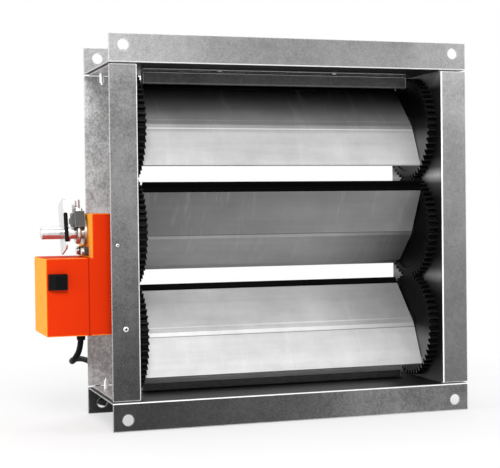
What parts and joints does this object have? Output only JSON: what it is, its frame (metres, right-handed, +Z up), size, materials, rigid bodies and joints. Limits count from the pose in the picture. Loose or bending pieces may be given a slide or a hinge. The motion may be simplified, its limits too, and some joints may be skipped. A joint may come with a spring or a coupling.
{
  "type": "volume control damper",
  "caption": "Opposed-blade duct damper with flanged sheet frame, toothed blade gears, lip seals and a side-mounted electric actuator.",
  "frame": {"origin": "middle of the front flange face, on the duct's centre line", "axes": "+X along the blades away from the actuator, +Y through the duct from front to rear, +Z up"},
  "size_m": [0.4161, 0.2173, 0.364],
  "materials": {
    "galvanised_sheet": "spangled zinc",
    "bracket_zinc": "zinc plated",
    "blade_aluminium": "mill finish",
    "seal_rubber": "matte",
    "gear_nylon": "satin",
    "bush_plastic": "satin",
    "shaft_steel": "turned",
    "rivet_aluminium": "bright",
    "housing_orange": "fine texture",
    "button_black": "satin",
    "bright_zinc": "bright zinc",
    "clamp_steel": "dark zinc",
    "board_laminate": "solder mask",
    "cord_black": "satin",
    "ferrule_tin": "tinned"
  },
  "bodies": {
    "frame": {"actuator_base": "housing_orange", "actuator_cover": "housing_orange", "bottom_channel": "galvanised_sheet", "bracket_screws": "bright_zinc", "circuit_board": "board_laminate", "cord_coil": "cord_black", "cord_gland": "cord_black", "corner_rivets": "rivet_aluminium", "cover_screws": "bright_zinc", "end_stop_screws": "bright_zinc", "end_stops": "clamp_steel", "flange_rivets": "rivet_aluminium", "gear_motor": "shaft_steel", "gear_plate": "bracket_zinc", "left_channel": "galvanised_sheet", "left_lower_bush": "bush_plastic", "left_middle_bush": "bush_plastic", "left_upper_bush": "bush_plastic", "lower_stop_seal": "seal_rubber", "lower_stop_strip": "galvanised_sheet", "mounting_bracket": "bracket_zinc", "right_channel": "galvanised_sheet", "right_lower_bush": "bush_plastic", "right_middle_bush": "bush_plastic", "right_upper_bush": "bush_plastic", "stop_rivets": "rivet_aluminium", "supply_cord": "cord_black", "top_channel": "galvanised_sheet", "upper_stop_strip": "galvanised_sheet", "wire_ends": "ferrule_tin"},
    "upper_blade_set": {"upper_blade": "blade_aluminium", "upper_blade_seal": "seal_rubber", "left_upper_gear": "gear_nylon", "right_upper_gear": "gear_nylon", "right_upper_shaft": "shaft_steel", "left_upper_shaft": "shaft_steel"},
    "middle_blade_set": {"middle_blade": "blade_aluminium", "middle_blade_seal": "seal_rubber", "left_middle_gear": "gear_nylon", "right_middle_gear": "gear_nylon", "right_middle_shaft": "shaft_steel", "drive_shaft": "shaft_steel", "drive_hub": "clamp_steel", "sector_gear": "gear_nylon", "clamp_jaw": "clamp_steel", "u_bolt": "bright_zinc", "clamp_nuts": "bright_zinc", "indicator_plate": "bright_zinc"},
    "lower_blade_set": {"lower_blade": "blade_aluminium", "lower_blade_seal": "seal_rubber", "left_lower_gear": "gear_nylon", "right_lower_gear": "gear_nylon", "right_lower_shaft": "shaft_steel", "left_lower_shaft": "shaft_steel"},
    "pinion_set": {"motor_pinion": "gear_nylon"},
    "button_set": {"push_button": "button_black"}
  },
  "joints": [
    {"name": "middle_blade_turn", "type": "hinge", "parent": "frame", "child": "middle_blade_set", "pos_m": [0, 0.059, 0], "axis": [1, 0, 0], "range_deg": [-37, 53]},
    {"name": "upper_blade_turn", "type": "hinge", "parent": "frame", "child": "upper_blade_set", "pos_m": [0, 0.059, 0.1], "axis": [1, 0, 0], "range_deg": [-53, 37]},
    {"name": "lower_blade_turn", "type": "hinge", "parent": "frame", "child": "lower_blade_set", "pos_m": [0, 0.059, -0.1], "axis": [1, 0, 0], "range_deg": [-53, 37]},
    {"name": "motor_pinion_turn", "type": "hinge", "parent": "frame", "child": "pinion_set", "pos_m": [-0.184, 0.059, -0.0328], "axis": [1, 0, 0], "range_deg": [-309.18, 215.84]},
    {"name": "push_button_press", "type": "slide", "parent": "frame", "child": "button_set", "axis": [0, 1, 0], "range_m": [0, 0.002], "stiffness_N_per_m": 900}
  ],
  "couplings": [
    {"joint": "upper_blade_turn", "follows": "middle_blade_turn", "ratio": -1},
    {"joint": "lower_blade_turn", "follows": "middle_blade_turn", "ratio": -1},
    {"joint": "motor_pinion_turn", "follows": "middle_blade_turn", "ratio": -5.8333}
  ]
}
